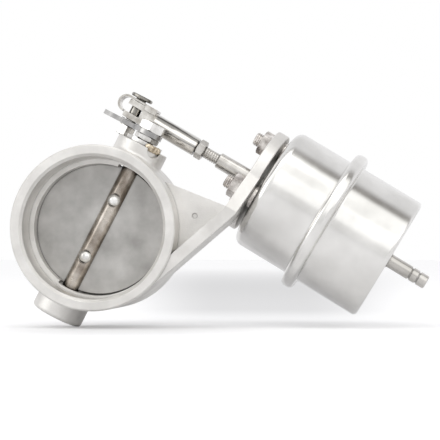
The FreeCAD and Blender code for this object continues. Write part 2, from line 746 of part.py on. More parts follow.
def make_lever():
    """Flat lever with the shaft's hole, the pin's hole and a spare hole near its tip."""
    thick = s.lever_thickness
    bar = new_body("lever_bar")
    profile = sketch_in(bar, "lever_profile", [
        (ZERO, -s.lever_hub_radius), (s.lever_tip_reach, -s.lever_tip_radius),
        (s.lever_tip_reach, s.lever_tip_radius), (ZERO, s.lever_hub_radius)], "XY_Plane")
    pad(bar, "lever_slab", profile, thick)
    blank = fuse("lever_blank", [
        bar, cylinder("lever_hub", s.lever_hub_radius, thick),
        cylinder("lever_eye", s.lever_eye_radius, thick, (s.lever_arm, ZERO, ZERO)),
        cylinder("lever_tip", s.lever_tip_radius, thick, (s.lever_tip_reach, ZERO, ZERO))])
    tall = thick * 3
    hub_hole = common("hub_hole", [
        cylinder("hub_round", s.stub_radius + s.running_gap, tall, (ZERO, ZERO, -thick)),
        block("hub_flats", s.stub_flat * 2 + s.running_gap, s.stub_radius * 3, tall,
              (-s.stub_flat - s.running_gap / 2, s.stub_radius * -1.5, -thick))])
    place(hub_hole, turn=((0, 0, 1), -s.lever_angle - 90))
    lever = cut("lever_drilled", blank, [
        hub_hole, cylinder("pin_hole", pin_hole, tall, (s.lever_arm, ZERO, -thick)),
        cylinder("spare_hole", s.spare_hole_radius, tall, (s.spare_hole_reach, ZERO, -thick))])
    place(lever, (ZERO, ZERO, lever_start), ((0, 0, 1), s.lever_angle + 90))
    return in_valve_frame(placed_again("lever", lever))


def make_clevis():
    """Square fork with a turned neck; its ears lie above and below the slot."""
    tail = s.clevis_length
    square = block("fork_square", s.fork_length + s.fork_tip, s.fork_width, s.fork_width,
                   (-s.fork_tip, -fork_half, -fork_half))
    neck_start = s.fork_length - s.overcut
    neck = cylinder("fork_neck", s.neck_radius, tail - neck_start, (neck_start, ZERO, ZERO), ALONG_X)
    envelope = turned("fork_envelope", [
        (-s.fork_tip, ZERO), (-s.fork_tip, s.fork_corner - s.fork_chamfer),
        (s.fork_chamfer - s.fork_tip, s.fork_corner), (s.fork_length - s.fork_taper, s.fork_corner),
        (s.fork_length, s.neck_radius), (tail - s.edge_break, s.neck_radius),
        (tail, s.neck_radius - s.edge_break),
        (tail, ZERO)], "X")
    blank = common("fork_blank", [fuse("fork_stock", [square, neck]), envelope])
    slot = block("fork_gap", s.fork_slot_length + s.overcut, s.fork_width * 2, s.fork_slot,
                 (-s.fork_tip - s.overcut, -s.fork_width, s.fork_slot / -2))
    holes = [slot, bore_for_pin("fork_pin_hole", pin_hole, s.fork_width),
             cylinder("fork_thread_hole", s.thread_radius + s.running_gap, tail,
                      (s.fork_slot_length - s.fork_tip - s.overcut, ZERO, ZERO), ALONG_X)]
    return in_link_frame(cut("clevis", blank, holes))


def make_clevis_pin():
    """Headed pin through fork and lever, with a nut below them."""
    low = pin_nut_start + s.pin_nut_height + s.pin_tip
    head, top = s.pin_head_level, s.pin_head_level + s.pin_head_thickness
    edge = s.pin_head_radius - s.edge_break
    pin = turned("clevis_pin", [
        (-low, ZERO), (-low, s.pin_radius - s.edge_break), (s.edge_break - low, s.pin_radius),
        (head, s.pin_radius), (head, edge), (head + s.edge_break, s.pin_head_radius),
        (top - s.edge_break, s.pin_head_radius), (top, edge), (top, ZERO)], "Z")
    return in_pin_frame(pin)


def make_pin_nut():
    item = nut("pin_nut_blank", s.pin_nut_width, s.pin_nut_height, s.pin_radius,
               (ZERO, ZERO, -(pin_nut_start + s.pin_nut_height)), ((0, 0, 1), s.pin_nut_angle))
    return in_pin_frame(placed_again("pin_nut", item))


def make_lever_nut():
    return in_valve_frame(placed_again("lever_nut", nut(
        "lever_nut_blank", s.shaft_nut_width, s.shaft_nut_height, s.stub_radius, (ZERO, ZERO, nut_start))))


def make_top_nut():
    return in_valve_frame(placed_again("top_nut", nut(
        "top_nut_blank", s.top_nut_width, s.top_nut_height, s.stub_radius,
        (ZERO, ZERO, lever_top), ((0, 0, 1), s.top_nut_angle))))


def make_spring_clip():
    """Sheet bent round the end of the fork, with an arm along the neck and two small wings."""
    low = fork_half + s.clip_play
    high = low + s.clip_sheet
    outside = s.clip_bend_radius
    inside = outside - s.clip_sheet
    strip = new_body("clip_strip")
    profile = sketch_in(strip, "clip_profile", [
        (s.clip_arm, low), (s.clip_arm, high), (-s.clip_bend, high),
        (-s.clip_bend - outside, high - outside, outside),
        (-s.clip_bend, high - outside * 2, outside),
        (-s.clip_bend, high - outside * 2 + s.clip_sheet),
        (-s.clip_bend - inside, high - outside, -inside),
        (-s.clip_bend, low, -inside)], "XZ_Plane", s.clip_width / 2)
    pad(strip, "clip_sheet_pad", profile, s.clip_width, backwards=True)
    pieces = [strip]
    wing = s.clip_arm - s.clip_wing_start
    out = fork_half + s.clip_play + s.clip_sheet
    pieces.append(block("clip_saddle", wing, out * 2, s.clip_sheet, (s.clip_wing_start, -out, low)))
    for name, side in (("clip_wing_near", -out), ("clip_wing_far", out - s.clip_sheet)):
        pieces.append(block(name, wing, s.clip_sheet, s.clip_wing_drop,
                            (s.clip_wing_start, side, high - s.clip_wing_drop)))
    clip = cut("spring_clip", fuse("clip_blank", pieces), [
        bore_for_pin("clip_hole", s.pin_radius + s.clip_play, s.fork_width)])
    return in_link_frame(clip)


def make_pin_spacer():
    ring = tube("spacer_ring", pin_hole, s.spacer_radius,
                lever_top + s.spacer_gap, s.spacer_thickness)
    place(ring, (pin_across, pin_behind, ZERO))
    return in_valve_frame(placed_again("pin_spacer", ring))


def make_lock_nut():
    item = nut("lock_nut_blank", s.lock_nut_width, s.lock_nut_height, s.thread_radius + s.running_gap,
               (s.clevis_length + s.lock_nut_play, ZERO, ZERO), ALONG_X)
    return in_link_frame(placed_again("lock_nut", item))


def make_actuator_rod():
    """Rod threaded into the clevis; its free end sits in the piston's loose socket."""
    rod = turned("actuator_rod", [
        (s.thread_start, ZERO), (s.thread_start, s.thread_radius - s.edge_break),
        (s.thread_start + s.edge_break, s.thread_radius), (s.rod_step, s.thread_radius),
        (s.rod_step, s.rod_radius - s.edge_break), (s.rod_step + s.edge_break, s.rod_radius),
        (rod_end - s.rod_radius, s.rod_radius), (rod_end, ZERO, -s.rod_radius)], "X")
    return in_link_frame(rod)


def make_front_can():
    thin = s.can_wall
    outer = s.front_can_radius
    bend = s.front_can_round
    lip = bead_start + thin
    rim = s.bead_radius - thin - s.running_gap * 4
    can = turned("front_can_shell", [
        (can_start, s.rod_opening_radius), (can_start, outer - bend),
        (can_start + bend, outer, -bend), (lip, outer), (lip, rim), (lip + thin, rim),
        (lip + thin, outer - thin),
        (can_start + bend, outer - thin), (can_start + thin, outer - bend, bend - thin),
        (can_start + thin, s.rod_opening_radius)], "X")
    holes = []
    for number, turn in enumerate(stud_turns, start=1):
        aside, rise = round_stud(turn, s.stud_circle)
        holes.append(cylinder("can_stud_hole_%d" % number, s.stud_radius, thin * 3,
                              (can_start - thin, aside, rise), ALONG_X))
    return in_canister_frame(cut("front_can", can, holes))


def make_rear_can():
    """Rear half; its rolled bead grips the front half's lip and the diaphragm's edge."""
    thin = s.can_wall
    outer = s.rear_can_radius
    bead, bend = s.bead_radius, s.bead_round
    slim = s.front_can_radius + s.bead_gap
    end_bend = s.rear_can_round
    can = turned("rear_can", [
        (bead_start, slim), (bead_start, bead - bend), (bead_start + bend, bead, -bend),
        (bead_end - bend, bead), (bead_end, bead - bend, -bend), (bead_end, outer + thin),
        (bead_end + thin, outer, thin), (can_end - end_bend, outer),
        (can_end, outer - end_bend, -end_bend), (can_end, s.nipple_collar_radius),
        (end_wall, s.nipple_collar_radius), (end_wall, outer - thin), (bead_end - thin, outer - thin),
        (bead_end - thin, bead - thin), (bead_start + thin, bead - thin), (bead_start + thin, slim)], "X")
    return in_canister_frame(can)


def make_diaphragm():
    """Rubber on the piston's front and skirt, out to the thick edge gripped in the bead."""
    rubber = s.rubber
    front = piston_start - rubber
    skin = s.piston_radius + s.rubber_play
    middle = s.socket_inner + s.socket_wall + s.rubber_play * 2
    lip = bead_start + s.can_wall * 2
    back = bead_end - s.can_wall
    sheet = lip + rubber * 0.6
    edge = s.rear_can_radius + rubber * 0.7
    outside = s.bead_radius - s.can_wall - s.rubber_play
    diaphragm = turned("diaphragm", [
        (front, middle), (front, skin - rubber),
        (front + rubber * 2, skin + rubber, rubber * -2), (sheet, skin + rubber), (sheet, edge),
        (lip, edge), (lip, outside), (back, outside), (back, edge), (sheet + rubber, edge),
        (sheet + rubber, skin), (front + rubber * 2, skin), (piston_start, skin - rubber, rubber),
        (piston_start, middle)], "X")
    return in_canister_frame(diaphragm)


def make_piston_cup():
    sheet = s.piston_sheet
    cup = turned("piston_cup", [
        (piston_start, ZERO), (piston_start, s.piston_radius - sheet),
        (piston_start + sheet, s.piston_radius, -sheet),
        (piston_start + s.piston_skirt, s.piston_radius),
        (piston_start + s.piston_skirt, s.piston_radius - sheet),
        (piston_back, s.piston_radius - sheet), (piston_back, ZERO)], "X")
    return in_canister_frame(cup)


def make_rod_socket():
    """Loose socket for the rod's end, with a flange that holds the diaphragm to the piston."""
    outer = s.socket_inner + s.socket_wall
    front = piston_start - s.socket_length
    flange = piston_start - s.rubber
    socket = turned("rod_socket", [
        (front, s.socket_inner), (front, outer), (flange - s.socket_wall, outer),
        (flange - s.socket_wall, s.socket_flange), (flange, s.socket_flange), (flange, outer),
        (piston_start, outer), (piston_start, s.socket_inner)], "X")
    return in_canister_frame(socket)


def make_spring_plate():
    plate = turned("spring_plate", [
        (piston_back, ZERO), (piston_back, s.spring_guide),
        (piston_back + s.spring_plate_thickness, s.spring_guide - s.edge_break),
        (piston_back + s.spring_plate_thickness, ZERO)], "X")
    return in_canister_frame(plate)


def make_return_spring():
    start = piston_back + s.spring_wire + s.spring_play
    length = spring_end - s.spring_wire - s.spring_play - start
    helix = doc.addObject("Part::Helix", "spring_path")
    bind(helix, "Radius", s.spring_radius)
    bind(helix, "Height", length)
    bind(helix, "Pitch", length / s.spring_turns)
    helix.SegmentLength = 0.5      # half a turn, so that the sweep meshes closed
    wire = doc.addObject("Part::Circle", "spring_section")
    bind(wire, "Radius", s.spring_wire)
    place(wire, (s.spring_radius, ZERO, ZERO), ((1, 0, 0), 90))
    spring = doc.addObject("Part::Sweep", "return_spring")
    spring.Sections = [wire]
    spring.Spine = (helix, [])
    spring.Solid = True
    spring.Frenet = True
    return in_canister_frame(spring, start, 90)


def make_spring_seat():
    inner = s.nipple_flange_radius + s.spring_seat_play
    seat = turned("spring_seat", [
        (spring_end, inner), (spring_end - s.spring_seat_height, inner),
        (spring_end - s.spring_seat_height, s.spring_guide - s.edge_break), (spring_end, s.spring_guide),
        (spring_end, s.spring_seat_radius), (end_wall, s.spring_seat_radius), (end_wall, inner)], "X")
    return in_canister_frame(seat)


def make_vacuum_nipple():
    """Hose nipple with two grooves; a flange and a collar hold it in the rear wall."""
    outer, deep, wide = s.nipple_radius, s.nipple_groove, s.nipple_groove_width
    end = can_end + s.nipple_reach
    second = end - s.nipple_tip - wide
    first = second - s.nipple_step
    shoulder = can_end + s.nipple_collar
    nipple = turned("vacuum_nipple", [
        (end_wall - s.can_wall, s.nipple_bore), (end_wall - s.can_wall, s.nipple_flange_radius),
        (end_wall, s.nipple_flange_radius), (end_wall, s.nipple_collar_radius),
        (shoulder, s.nipple_collar_radius), (shoulder, outer), (first, outer), (first, outer - deep),
        (first + wide, outer - deep), (first + wide, outer), (second, outer), (second, outer - deep),
        (second + wide, outer - deep), (second + wide, outer), (end - s.edge_break, outer),
        (end, outer - s.edge_break), (end, s.nipple_bore)], "X")
    return in_canister_frame(nipple)


def make_actuator_studs():
    """Three studs; each collar fills the gap between flange and canister."""
    tip = flange_start - s.nut_height - s.stud_tip
    back = can_start + s.can_wall + s.stud_ring_thickness
    studs = []
    for number, turn in enumerate(stud_turns, start=1):
        aside, rise = round_stud(turn, s.stud_circle)
        stud = turned("stud_%d" % number, [
            (tip, ZERO), (tip, s.stud_radius - s.edge_break), (tip + s.edge_break, s.stud_radius),
            (flange_end, s.stud_radius), (flange_end, s.stud_collar_radius),
            (can_start, s.stud_collar_radius), (can_start, s.stud_radius),
            (back, s.stud_radius), (back, ZERO)], "X")
        studs.append(place(stud, (ZERO, aside, rise)))
    return in_canister_frame(fuse("actuator_studs", studs))


def make_stud_ring():
    start = can_start + s.can_wall
    ring = turned("stud_ring_disc", [
        (start, s.stud_ring_inner), (start, s.stud_ring_outer),
        (start + s.stud_ring_thickness, s.stud_ring_outer),
        (start + s.stud_ring_thickness, s.stud_ring_inner)], "X")
    holes = []
    for number, turn in enumerate(stud_turns, start=1):
        aside, rise = round_stud(turn, s.stud_circle)
        holes.append(cylinder("ring_stud_hole_%d" % number, s.stud_radius, s.stud_ring_thickness * 3,
                              (start - s.stud_ring_thickness, aside, rise), ALONG_X))
    return in_canister_frame(cut("stud_ring", ring, holes))


def make_stud_nuts():
    nuts = []
    for number, turn in enumerate(stud_turns, start=1):
        aside, rise = round_stud(turn, s.stud_circle)
        nuts.append(nut("stud_nut_%d" % number, s.nut_width, s.nut_height, s.stud_radius,
                        (flange_start - s.nut_height, aside, rise), ALONG_X))
    return in_canister_frame(fuse("stud_nuts", nuts))


lower_bush_end = -(bush_start + s.bush_length)
parts = [
    make_valve_body(),
    in_valve_frame(tube("upper_bush", bush_hole, s.shaft_hole_radius, bush_start, s.bush_length)),
    in_valve_frame(tube("lower_bush", bush_hole, s.shaft_hole_radius, lower_bush_end, s.bush_length)),
    in_valve_frame(tube("shaft_seal", bush_hole, s.shaft_hole_radius,
                        upper_boss_top - s.seal_height, s.seal_height)),
    in_valve_frame(tube("gland_washer", bush_hole, s.washer_radius, upper_boss_top, s.washer_thickness)),
    make_gland_weld(),
    make_valve_shaft(),
    make_valve_plate(),
    make_plate_screws(),
    make_lever_nut(),
    make_lever(),
    make_top_nut(),
    make_pin_spacer(),
    make_clevis(),
    make_clevis_pin(),
    make_pin_nut(),
    make_spring_clip(),
    make_lock_nut(),
    make_actuator_rod(),
    make_front_can(),
    make_rear_can(),
    make_diaphragm(),
    make_piston_cup(),
    make_rod_socket(),
    make_spring_plate(),
    make_return_spring(),
    make_spring_seat(),
    make_vacuum_nipple(),
    make_actuator_studs(),
    make_stud_ring(),
    make_stud_nuts(),
]

doc.recompute()
for item in doc.Objects:
    if "Invalid" in item.State or "Error" in item.State:
        raise RuntimeError("%s didn't build: %s" % (item.Name, item.State))
    if item.TypeId == "Sketcher::SketchObject" and not item.FullyConstrained:
        raise RuntimeError("%s isn't fully constrained" % item.Name)

os.makedirs("parts", exist_ok=True)
for item in parts:
    name = item.Name
    shape = item.Shape
    if not shape.Solids or not shape.isValid():
        raise RuntimeError("%s isn't a valid solid" % name)
    shape.exportStep("parts/%s.step" % name)
    box = shape.BoundBox
    print("%-16s solids %d  volume %9.1f  x %.1f %.1f  y %.1f %.1f  z %.1f %.1f" % (
        name, len(shape.Solids), shape.Volume, box.XMin, box.XMax, box.YMin, box.YMax,
        box.ZMin, box.ZMax))
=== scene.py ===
# %% [markdown]
# An exhaust cutout valve on a white table. The valve is an open pipe collar with a round
# plate inside, and a steel canister that turns the plate through a rod, a clevis and a lever.
# Its solid pieces come from the frame at their real size. This notebook gives each of them
# its finish, adds the threads and marks that a solid is too coarse for, and lights the set.

# %% Load the frame
import json
import math

import bpy
import numpy as np
from mathutils import Matrix, Vector


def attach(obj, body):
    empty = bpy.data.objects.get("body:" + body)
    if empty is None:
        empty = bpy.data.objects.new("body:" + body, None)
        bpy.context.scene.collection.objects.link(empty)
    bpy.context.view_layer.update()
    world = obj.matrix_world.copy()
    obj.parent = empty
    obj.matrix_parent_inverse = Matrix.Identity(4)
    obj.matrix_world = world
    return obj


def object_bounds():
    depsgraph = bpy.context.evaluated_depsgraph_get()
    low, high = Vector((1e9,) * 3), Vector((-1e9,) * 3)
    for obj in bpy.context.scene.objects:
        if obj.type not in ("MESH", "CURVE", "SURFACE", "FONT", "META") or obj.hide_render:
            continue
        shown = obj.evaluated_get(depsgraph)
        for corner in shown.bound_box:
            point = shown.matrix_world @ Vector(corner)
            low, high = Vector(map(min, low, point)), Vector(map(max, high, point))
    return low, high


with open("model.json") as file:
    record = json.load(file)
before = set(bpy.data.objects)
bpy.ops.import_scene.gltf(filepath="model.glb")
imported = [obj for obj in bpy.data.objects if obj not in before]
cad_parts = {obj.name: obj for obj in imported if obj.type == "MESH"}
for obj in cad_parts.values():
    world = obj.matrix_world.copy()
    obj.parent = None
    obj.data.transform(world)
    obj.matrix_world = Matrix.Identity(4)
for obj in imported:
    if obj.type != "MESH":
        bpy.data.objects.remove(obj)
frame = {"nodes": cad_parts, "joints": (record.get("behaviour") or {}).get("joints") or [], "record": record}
cad_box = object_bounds()
print("pieces in the frame:", len(frame["nodes"]))

# %% [markdown]
# The object has three directions that matter: the bore of the pipe collar, which lies along
# the frame's Y, the shaft that the plate turns on, and the canister's axis. The joints of the
# frame hold the last two, so every later pattern and piece reads them from there. The rod
# isn't quite square to the shaft.

# %% The object's own axes
MM = 0.001
ROD_CANT = math.radians(3.0)
joints = {joint["name"]: joint for joint in frame["joints"]}
mounts = {mount["name"]: mount for mount in frame["record"]["mounts"]}
bore_axis = Vector((0, 1, 0))
shaft_up = -Vector(joints["valve_turn"]["axis"]).normalized()
shaft_middle = Vector(joints["valve_turn"]["pos_m"])
pin_middle = Vector(joints["clevis_swing"]["pos_m"])
can_axis = Vector(joints["piston_slide"]["axis"]).normalized()
can_middle = Vector(mounts["vacuum_nipple"]["pos_m"])
rod_axis = Matrix.Rotation(ROD_CANT, 3, "Y") @ Vector((shaft_up.z, 0, -shaft_up.x))
print("shaft", shaft_up[:], "canister", can_axis[:])

# %% [markdown]
# The photograph was taken with a long lens from a little to the right, almost level with
# the table. A camera needs three facts for this: where its eye is, which way it looks, and
# how long its lens is. The lens follows from how fast the object shrinks with depth.

# %% Camera at the photograph's viewing angle
EYE = Vector((127.2, -676.85, -10.8)) * MM
AZIMUTH = math.radians(6.0)
ELEVATION = math.radians(-1.2)
SENSOR = 36.0
LENS = 126.0
NEAREST = 0.01
FARTHEST = 50

look = Vector((-math.sin(AZIMUTH) * math.cos(ELEVATION),
               math.cos(AZIMUTH) * math.cos(ELEVATION), -math.sin(ELEVATION)))
camera_data = bpy.data.cameras.new("camera")
camera_data.sensor_width = SENSOR
camera_data.lens = LENS
camera_data.clip_start = NEAREST
camera_data.clip_end = FARTHEST
camera = bpy.data.objects.new("camera", camera_data)
camera.location = EYE
camera.rotation_mode = "QUATERNION"
camera.rotation_quaternion = look.to_track_quat("-Z", "Y")
bpy.context.scene.collection.objects.link(camera)
bpy.context.scene.camera = camera
bpy.context.scene.view_settings.view_transform = "Standard"
print("camera looks along", look[:])

# %% [markdown]
# A material is a small net of nodes. Most of its nodes do one of five things: calculate with
# a number, calculate with a direction, carry a value from one range to another, mix two
# things, or look a colour up in a ramp. Each of the five is a short function here, so that
# the materials below read like sentences.

# %% Material helpers
def new_material(name, colour, roughness, metallic=1.0):
    """A material with one Principled BSDF; returns the material, its nodes, links and shader."""
    material = bpy.data.materials.new(name)
    material.use_nodes = True
    nodes, links = material.node_tree.nodes, material.node_tree.links
    shader = nodes["Principled BSDF"]
    shader.inputs["Base Color"].default_value = (*colour, 1)
    shader.inputs["Roughness"].default_value = roughness
    shader.inputs["Metallic"].default_value = metallic
    return material, nodes, links, shader


def feed(links, value, socket):
    """Feed a socket from another node's socket, or with a plain value."""
    if isinstance(value, bpy.types.NodeSocket):
        links.new(value, socket)
    else:
        socket.default_value = value


def work(nodes, links, operation, *values):
    """A math node; returns its output."""
    node = nodes.new("ShaderNodeMath")
    node.operation = operation
    for index, value in enumerate(values):
        feed(links, value, node.inputs[index])
    return node.outputs[0]


def vector_work(nodes, links, operation, *values):
    """A vector math node; returns its outputs, a vector and a number."""
    node = nodes.new("ShaderNodeVectorMath")
    node.operation = operation
    for index, value in enumerate(values):
        feed(links, value, node.inputs[index])
    return node.outputs


def spread(nodes, links, value, start, end, low=0.0, high=1.0, step="LINEAR"):
    """Carry a value from the range start to end over to the range low to high."""
    node = nodes.new("ShaderNodeMapRange")
    node.interpolation_type = step
    for label, limit in (("From Min", start), ("From Max", end), ("To Min", low), ("To Max", high)):
        feed(links, limit, node.inputs[label])
    links.new(value, node.inputs["Value"])
    return node.outputs["Result"]


def smooth(nodes, links, value, start, end):
    """A soft step: 0 at start, 1 at end, whichever of the two is larger."""
    if start > end:
        return spread(nodes, links, value, end, start, 1.0, 0.0, "SMOOTHSTEP")
    return spread(nodes, links, value, start, end, 0.0, 1.0, "SMOOTHSTEP")


def mix(nodes, links, kind, share, first, second):
    """Mix two colours (RGBA) or two directions (VECTOR); returns the result."""
    node = nodes.new("ShaderNodeMix")
    node.data_type = kind
    for label, value in (("Factor", share), ("A", first), ("B", second)):
        feed(links, value, node.inputs[label])
    return node.outputs["Result"]


def ramp(nodes, links, value, stops):
    """A colour ramp through the stops (position, colour); returns its colour."""
    node = nodes.new("ShaderNodeValToRGB")
    links.new(value, node.inputs["Fac"])
    elements = node.color_ramp.elements
    for element, (position, colour) in zip(elements, (stops[0], stops[-1])):
        element.position, element.color = position, (*colour, 1)
    for position, colour in stops[1:-1]:
        elements.new(position).color = (*colour, 1)
    return node.outputs["Color"]


def object_place(nodes):
    """Where a point is in its piece's own coordinates."""
    return nodes.new("ShaderNodeTexCoord").outputs["Object"]


# %% [markdown]
# The table is one white sheet that runs out of sight. The camera has to see it pure white
# except where the valve shades it. So its own colour gets help from a glow that only the
# camera sees: lit parts reach white, and shaded parts stay grey. Two faint painted shadows
# add to the lamps' own shadows: a long one that runs back from the valve and one under the collar.

# %% Table
FLOOR_LEVEL = cad_box[0].z - 0.2 * MM
FLOOR_HALF = 6.0
FLOOR_WHITE = (0.86, 0.86, 0.87)
FLOOR_ROUGHNESS = 0.9
corners = [(-FLOOR_HALF, -FLOOR_HALF, FLOOR_LEVEL), (FLOOR_HALF, -FLOOR_HALF, FLOOR_LEVEL),
           (FLOOR_HALF, FLOOR_HALF, FLOOR_LEVEL), (-FLOOR_HALF, FLOOR_HALF, FLOOR_LEVEL)]
floor_mesh = bpy.data.meshes.new("table")
floor_mesh.from_pydata(corners, [], [(0, 1, 2, 3)])
table = bpy.data.objects.new("table", floor_mesh)
bpy.context.scene.collection.objects.link(table)
floor_paint, nodes, links, shader = new_material("white_table", FLOOR_WHITE, FLOOR_ROUGHNESS, 0.0)
shader.inputs["Specular IOR Level"].default_value = 0.0
floor_mesh.materials.append(floor_paint)
print("table at", round(FLOOR_LEVEL, 4))

# %% The long painted shadow behind the valve
SHADE_MIDDLE = 0.075
SHADE_SLANT = -0.0815
SHADE_HALF = 0.045
SHADE_SPREAD = 0.065
SHADE_SIDES = (1.7, 0.4)
SHADE_START = (0.02, 0.25)
SHADE_END = (2.8, 0.6)
LONG_DEPTH = 0.30
spot = object_place(nodes)
split = nodes.new("ShaderNodeSeparateXYZ")
links.new(spot, split.inputs[0])
floor_x, floor_y = split.outputs["X"], split.outputs["Y"]
middle_line = work(nodes, links, "MULTIPLY_ADD", floor_y, SHADE_SLANT, SHADE_MIDDLE)
aside = work(nodes, links, "ABSOLUTE", work(nodes, links, "SUBTRACT", floor_x, middle_line))
half_width = work(nodes, links, "MULTIPLY_ADD", floor_y, SHADE_SPREAD, SHADE_HALF)
sideways = smooth(nodes, links, work(nodes, links, "DIVIDE", aside, half_width), *SHADE_SIDES)
backwards = work(nodes, links, "MULTIPLY", smooth(nodes, links, floor_y, *SHADE_START),
                 smooth(nodes, links, floor_y, *SHADE_END))
long_shade = work(nodes, links, "MULTIPLY", sideways, backwards)
print("long stain", LONG_DEPTH, "deep")

# %% The painted shadow under the collar, and the table's paint
NEAR_SHADE = (0.011, -0.01)
NEAR_REACH = (0.085, 0.01)
NEAR_DEPTH = 0.14
FLOOR_GLOW = 0.19
near_distance = vector_work(nodes, links, "DISTANCE", spot, (*NEAR_SHADE, FLOOR_LEVEL))["Value"]
near_shade = smooth(nodes, links, near_distance, *NEAR_REACH)
# Painted shadow: the two shades darken the table's colour and, through lit, its glow.
shade = work(nodes, links, "MAXIMUM", work(nodes, links, "MULTIPLY", long_shade, LONG_DEPTH),
             work(nodes, links, "MULTIPLY", near_shade, NEAR_DEPTH))
lit = work(nodes, links, "SUBTRACT", 1.0, shade)
paint = mix(nodes, links, "RGBA", lit, (0, 0, 0, 1), (*FLOOR_WHITE, 1))
links.new(paint, shader.inputs["Base Color"])
seen_directly = nodes.new("ShaderNodeLightPath").outputs["Is Camera Ray"]
glow = work(nodes, links, "MULTIPLY", work(nodes, links, "MULTIPLY", lit, FLOOR_GLOW), seen_directly)
links.new(glow, shader.inputs["Emission Strength"])
shader.inputs["Emission Color"].default_value = (1, 1, 1, 1)
print("near stain", NEAR_DEPTH, "deep")

# %% [markdown]
# The metal reflects a room that the camera never sees. The room's tone changes only with the
# height angle in the upright plane along the bore: 0 degrees is level on the camera's side,
# 90 is overhead and 180 is level on the far side. The dark stretch just below 90 is meant for
# the dark band along the canister. The camera itself sees a plain white backdrop.

# %% Room and backdrop
ROOM_STRENGTH = 1.25
HALF_TURN = 180
ROOM_TONES = [(0, (0.70, 0.70, 0.70)), (30, (0.74, 0.74, 0.74)), (39, (0.95, 0.95, 0.94)),
              (72, (1.05, 1.05, 1.04)), (79, (0.22, 0.21, 0.20)), (87, (0.22, 0.21, 0.20)),
              (101, (0.68, 0.68, 0.69)), (HALF_TURN, (0.78, 0.78, 0.79))]
world = bpy.data.worlds.new("studio")
bpy.context.scene.world = world
world.use_nodes = True
nodes, links = world.node_tree.nodes, world.node_tree.links
split = nodes.new("ShaderNodeSeparateXYZ")
links.new(nodes.new("ShaderNodeTexCoord").outputs["Generated"], split.inputs[0])
forward = work(nodes, links, "MULTIPLY", split.outputs["Y"], -1.0)
height_angle = work(nodes, links, "ARCTAN2", split.outputs["Z"], forward)
share = spread(nodes, links, height_angle, 0.0, math.pi)
tones = ramp(nodes, links, share, [(degrees / HALF_TURN, tone) for degrees, tone in ROOM_TONES])
room = nodes["Background"]
room.inputs["Strength"].default_value = ROOM_STRENGTH
links.new(tones, room.inputs["Color"])
backdrop = nodes.new("ShaderNodeBackground")
backdrop.inputs["Color"].default_value = (1, 1, 1, 1)
backdrop.inputs["Strength"].default_value = 1.0
choice = nodes.new("ShaderNodeMixShader")
links.new(nodes.new("ShaderNodeLightPath").outputs["Is Camera Ray"], choice.inputs[0])
links.new(room.outputs[0], choice.inputs[1])
links.new(backdrop.outputs[0], choice.inputs[2])
links.new(choice.outputs[0], nodes["World Output"].inputs["Surface"])
print("room tones:", len(ROOM_TONES))


# %% [markdown]
# Bare metal looks like what it reflects. A studio hangs large soft panels round the object:
# the panel overhead is meant for the broad white band along the canister, and the other three
# light the sides that it leaves dark.

# %% Soft panels
def soft_panel(name, place, width, depth, power):
    """A rectangular lamp that faces the middle of the object."""
    data = bpy.data.lights.new(name, "AREA")
    data.shape = "RECTANGLE"
    data.size = width
    data.size_y = depth
    data.energy = power
    lamp = bpy.data.objects.new(name, data)
    lamp.location = place
    lamp.rotation_mode = "QUATERNION"
    lamp.rotation_quaternion = (object_middle - Vector(place)).to_track_quat("-Z", "Y")
    bpy.context.scene.collection.objects.link(lamp)


object_middle = (cad_box[0] + cad_box[1]) / 2
soft_panel("panel_overhead", (0.05, -0.25, 0.9), 0.9, 0.5, 1.6)
soft_panel("panel_left", (-0.9, -0.6, 0.45), 0.7, 0.7, 1.7)
soft_panel("panel_right", (0.9, -0.7, 0.4), 0.6, 0.6, 0.7)
soft_panel("panel_front", (0.35, -1.3, 0.6), 0.9, 0.6, 0.8)
print("panels:", len(bpy.data.lights))

# %% [markdown]
# Almost every finish on this object is bare steel, and bare steel always has a fine
# structure: blasting leaves grains, turning leaves rings, handling leaves faint clouds. On top,
# painted shade darkens the crevices. Each structure is one node group with a few inputs, used
# by all the materials that need it.

# %% Node group helpers
def new_group(name, inputs, outputs):
    """A shader node group with named sockets; each input is (name, kind, value)."""
    group = bpy.data.node_groups.new(name, "ShaderNodeTree")
    for label, kind, value in inputs:
        socket = group.interface.new_socket(label, in_out="INPUT", socket_type="NodeSocket" + kind)
        if value is not None:
            socket.default_value = value
    for label, kind in outputs:
        group.interface.new_socket(label, in_out="OUTPUT", socket_type="NodeSocket" + kind)
    nodes = group.nodes
    return group, nodes, group.links, nodes.new("NodeGroupInput").outputs, nodes.new("NodeGroupOutput").inputs


def place_group(nodes, group, **values):
    """Place a group in a material and set some of its inputs."""
    node = nodes.new("ShaderNodeGroup")
    node.node_tree = group
    for label, value in values.items():
        node.inputs[label].default_value = value
    return node


def fine_noise(nodes, links, place, scale, detail):
    """A noise pattern on a place; returns its strength."""
    noise = nodes.new("ShaderNodeTexNoise")
    noise.inputs["Detail"].default_value = detail
    links.new(place, noise.inputs["Vector"])
    feed(links, scale, noise.inputs["Scale"])
    return noise.outputs["Fac"]


def bumps_and_round_edges(nodes, links, relief, height, edge):
    """A normal that follows a relief and rounds the sharp edges; returns it."""
    round_edge = nodes.new("ShaderNodeBevel")
    round_edge.samples = 4
    links.new(edge, round_edge.inputs["Radius"])
    bump = nodes.new("ShaderNodeBump")
    bump.inputs["Strength"].default_value = 1.0
    links.new(height, bump.inputs["Distance"])
    links.new(relief, bump.inputs["Height"])
    links.new(round_edge.outputs["Normal"], bump.inputs["Normal"])
    return bump.outputs["Normal"]


